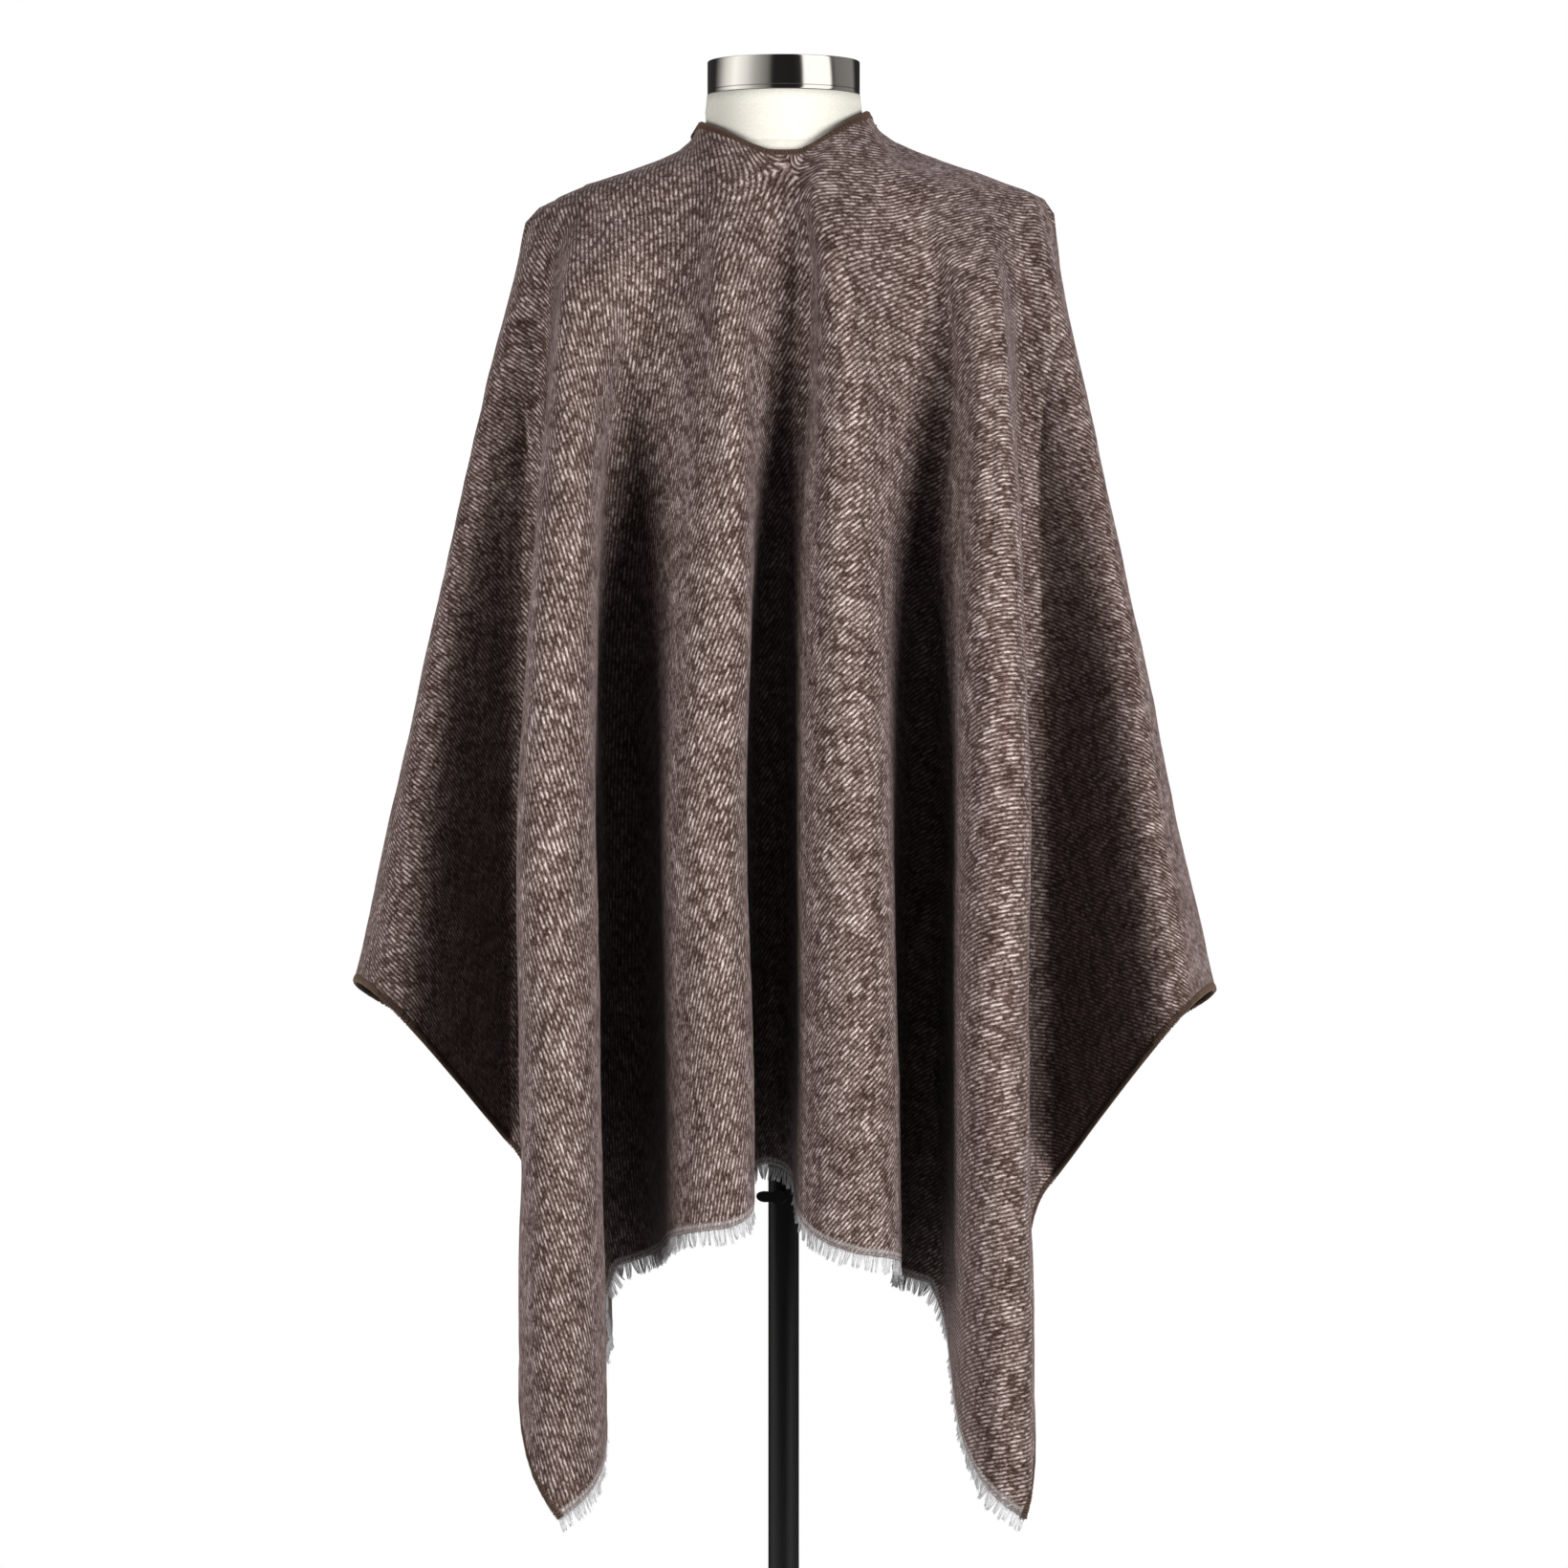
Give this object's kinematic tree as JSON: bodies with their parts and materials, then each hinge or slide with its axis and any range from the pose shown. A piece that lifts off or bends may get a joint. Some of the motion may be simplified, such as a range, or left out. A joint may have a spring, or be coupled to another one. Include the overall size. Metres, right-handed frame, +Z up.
{
  "type": "fringed wrap shawl on a dress form with a round-based stand",
  "caption": "Rectangular wrap shawl with a slit front and fringed hems, draped in deep folds over a limbless dress form on a round-based stand.",
  "frame": {"origin": "on the floor, on the axis of the stand's pole, at the underside of the base plate", "axes": "+Z up along the pole, +Y to the open front of the garment, +X to the right of a viewer who looks at the garment's back"},
  "size_m": [0.6328, 0.5264, 1.5385],
  "materials": {
    "brown_twill": "brushed wool twill, dark brown with pale flecks",
    "pale_fringe": "loose pale grey yarn",
    "cream_linen": "smooth stretched cover",
    "brushed_steel": "brushed round its turning axis",
    "black_paint": "satin black"
  },
  "bodies": {
    "stand": {"base_plate": "black_paint", "base_socket": "black_paint", "outer_tube": "black_paint"},
    "post": {"inner_rod": "brushed_steel"},
    "form": {"torso": "cream_linen", "neck_cap": "brushed_steel", "form_flange": "black_paint", "wrap_cloth": "brown_twill", "fringe_back": "pale_fringe", "fringe_front_left": "pale_fringe", "fringe_front_right": "pale_fringe"},
    "wing_screw": {"wing_screw": "black_paint"}
  },
  "joints": [
    {"name": "height_slide", "type": "slide", "parent": "stand", "child": "post", "axis": [0, 0, 1], "range_m": [-0.03, 0.2]},
    {"name": "form_swivel", "type": "hinge", "parent": "post", "child": "form", "pos_m": [0, 0, 0.79], "axis": [0, 0, 1], "continuous": true},
    {"name": "wing_screw_turn", "type": "hinge", "parent": "stand", "child": "wing_screw", "pos_m": [0, 0, 0.709], "axis": [-0.1736, -0.9848, 0], "continuous": true}
  ]
}
